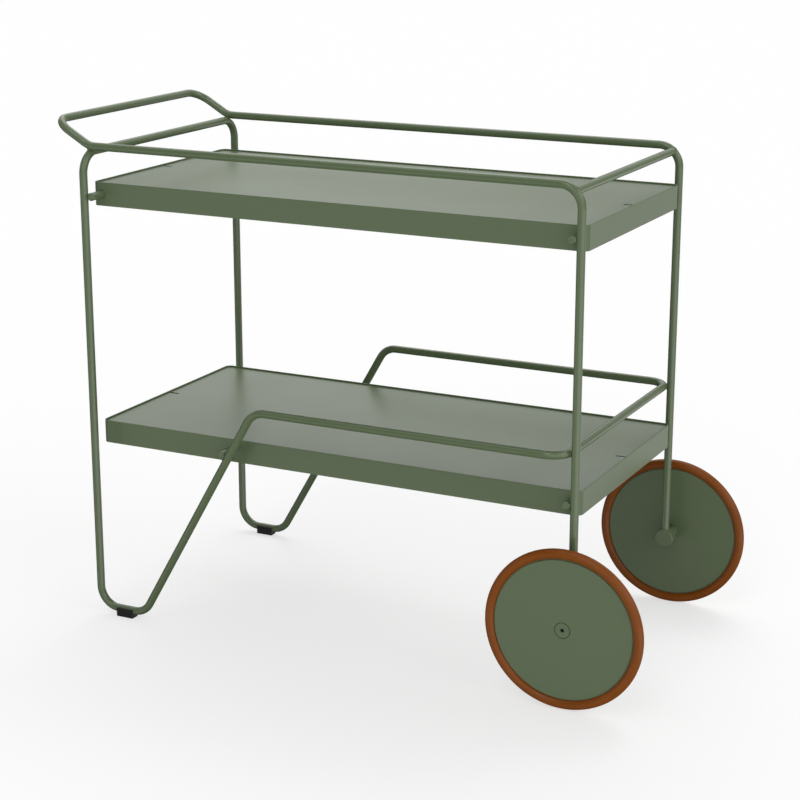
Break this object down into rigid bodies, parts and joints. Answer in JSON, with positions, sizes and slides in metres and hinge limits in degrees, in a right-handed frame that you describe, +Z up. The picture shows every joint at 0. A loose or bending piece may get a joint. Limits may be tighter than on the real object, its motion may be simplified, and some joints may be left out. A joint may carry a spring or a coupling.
{
  "type": "serving trolley",
  "caption": "Serving trolley with two shallow trays on a bent round-tube frame, a raised push handle, hairpin feet and large disc wheels that turn.",
  "frame": {"origin": "on the floor, under the middle of the whole length and width", "axes": "+X along the trolley to the wheel end, +Y across to the far side, +Z up; the near side is -Y"},
  "size_m": [0.966, 0.4692, 0.772],
  "materials": {
    "frame_paint": "satin",
    "tray_paint": "satin",
    "tyre_rubber": "matte",
    "foot_rubber": "matte",
    "screw_steel": "zinc plated",
    "bush_plastic": "matte"
  },
  "bodies": {
    "frame": {"near_side_tube": "frame_paint", "far_side_tube": "frame_paint", "handle_tube": "frame_paint", "wheel_end_crossbar": "frame_paint", "handle_end_hoop": "frame_paint", "near_hairpin": "frame_paint", "far_hairpin": "frame_paint", "near_diagonal": "frame_paint", "far_diagonal": "frame_paint", "guard_rail": "frame_paint", "near_wheel_boss": "frame_paint", "far_wheel_boss": "frame_paint", "near_axle_bolt": "frame_paint", "far_axle_bolt": "frame_paint", "near_foot": "foot_rubber", "far_foot": "foot_rubber", "upper_tray_band": "tray_paint", "upper_tray_plate": "tray_paint", "lower_tray_band": "tray_paint", "lower_tray_plate": "tray_paint", "upper_tray_rods": "frame_paint", "lower_tray_rods": "frame_paint", "tray_screws": "screw_steel"},
    "near_wheel": {"near_wheel_disc": "frame_paint", "near_wheel_hub": "frame_paint", "near_wheel_bushes": "bush_plastic", "near_tyre": "tyre_rubber"},
    "far_wheel": {"far_wheel_disc": "frame_paint", "far_wheel_hub": "frame_paint", "far_wheel_bushes": "bush_plastic", "far_tyre": "tyre_rubber"}
  },
  "joints": [
    {"name": "near_wheel_spin", "type": "hinge", "parent": "frame", "child": "near_wheel", "pos_m": [0.36556, -0.22745, 0.1175], "axis": [0, 1, 0], "continuous": true},
    {"name": "far_wheel_spin", "type": "hinge", "parent": "frame", "child": "far_wheel", "pos_m": [0.36556, 0.22745, 0.1175], "axis": [0, 1, 0], "continuous": true}
  ]
}
